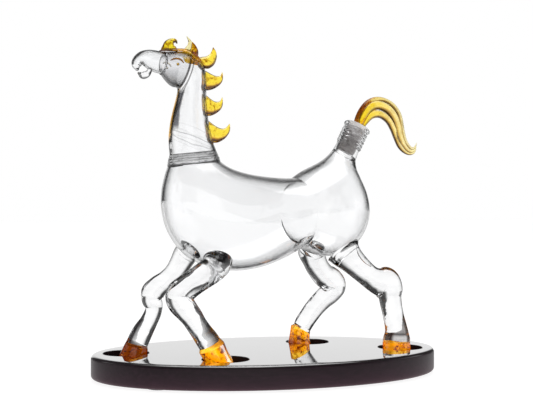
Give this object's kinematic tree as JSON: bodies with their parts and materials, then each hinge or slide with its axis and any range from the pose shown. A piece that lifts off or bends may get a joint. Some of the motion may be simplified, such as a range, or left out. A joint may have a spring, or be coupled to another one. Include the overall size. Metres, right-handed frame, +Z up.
{
  "type": "glass horse decanter",
  "caption": "Blown glass horse standing in recesses of an oval lacquered board, with amber hooves, mane and a tail-shaped ground stopper in its rump.",
  "frame": {"origin": "centre of the board's underside, on the surface it stands on", "axes": "+Z up, +X along the board's long axis, the horse looks towards -X and its left side is -Y"},
  "size_m": [0.3, 0.176, 0.2876],
  "materials": {
    "lacquer": "gloss",
    "felt": "matte",
    "clear_glass": "gloss",
    "ground_glass": "frosted",
    "amber": "gloss",
    "amber_dark": "gloss"
  },
  "bodies": {
    "board": {"plinth": "lacquer", "recess_pads": "felt", "foot_pads": "felt"},
    "horse": {"barrel_bulb": "clear_glass", "rump_bulb": "clear_glass", "neck_collar": "clear_glass", "neck_tube": "clear_glass", "head_globe": "clear_glass", "noseband": "clear_glass", "muzzle": "clear_glass", "lower_jaw": "clear_glass", "eyes": "amber_dark", "brows": "amber_dark", "poll_band": "amber_dark", "forelock": "amber", "ear_left": "amber_dark", "ear_right": "amber", "mane_lock_1": "amber", "mane_lock_2": "amber", "mane_lock_3": "amber", "mane_lock_4": "amber", "leg_front_left": "clear_glass", "leg_front_right": "clear_glass", "leg_hind_left": "clear_glass", "leg_hind_right": "clear_glass", "hoof_front_left": "amber_dark", "hoof_front_right": "amber_dark", "hoof_hind_left": "amber_dark", "hoof_hind_right": "amber_dark", "tail_neck": "clear_glass"},
    "stopper": {"stopper_plug": "ground_glass", "tail_strand_1": "amber", "tail_strand_2": "amber", "tail_strand_3": "amber"}
  },
  "joints": [
    {"name": "horse_lift", "type": "slide", "parent": "board", "child": "horse", "axis": [0, 0, 1], "range_m": [0, 0.05]},
    {"name": "stopper_pull", "type": "slide", "parent": "horse", "child": "stopper", "axis": [0.4592, 0.0976, 0.8829], "range_m": [0, 0.045]}
  ]
}
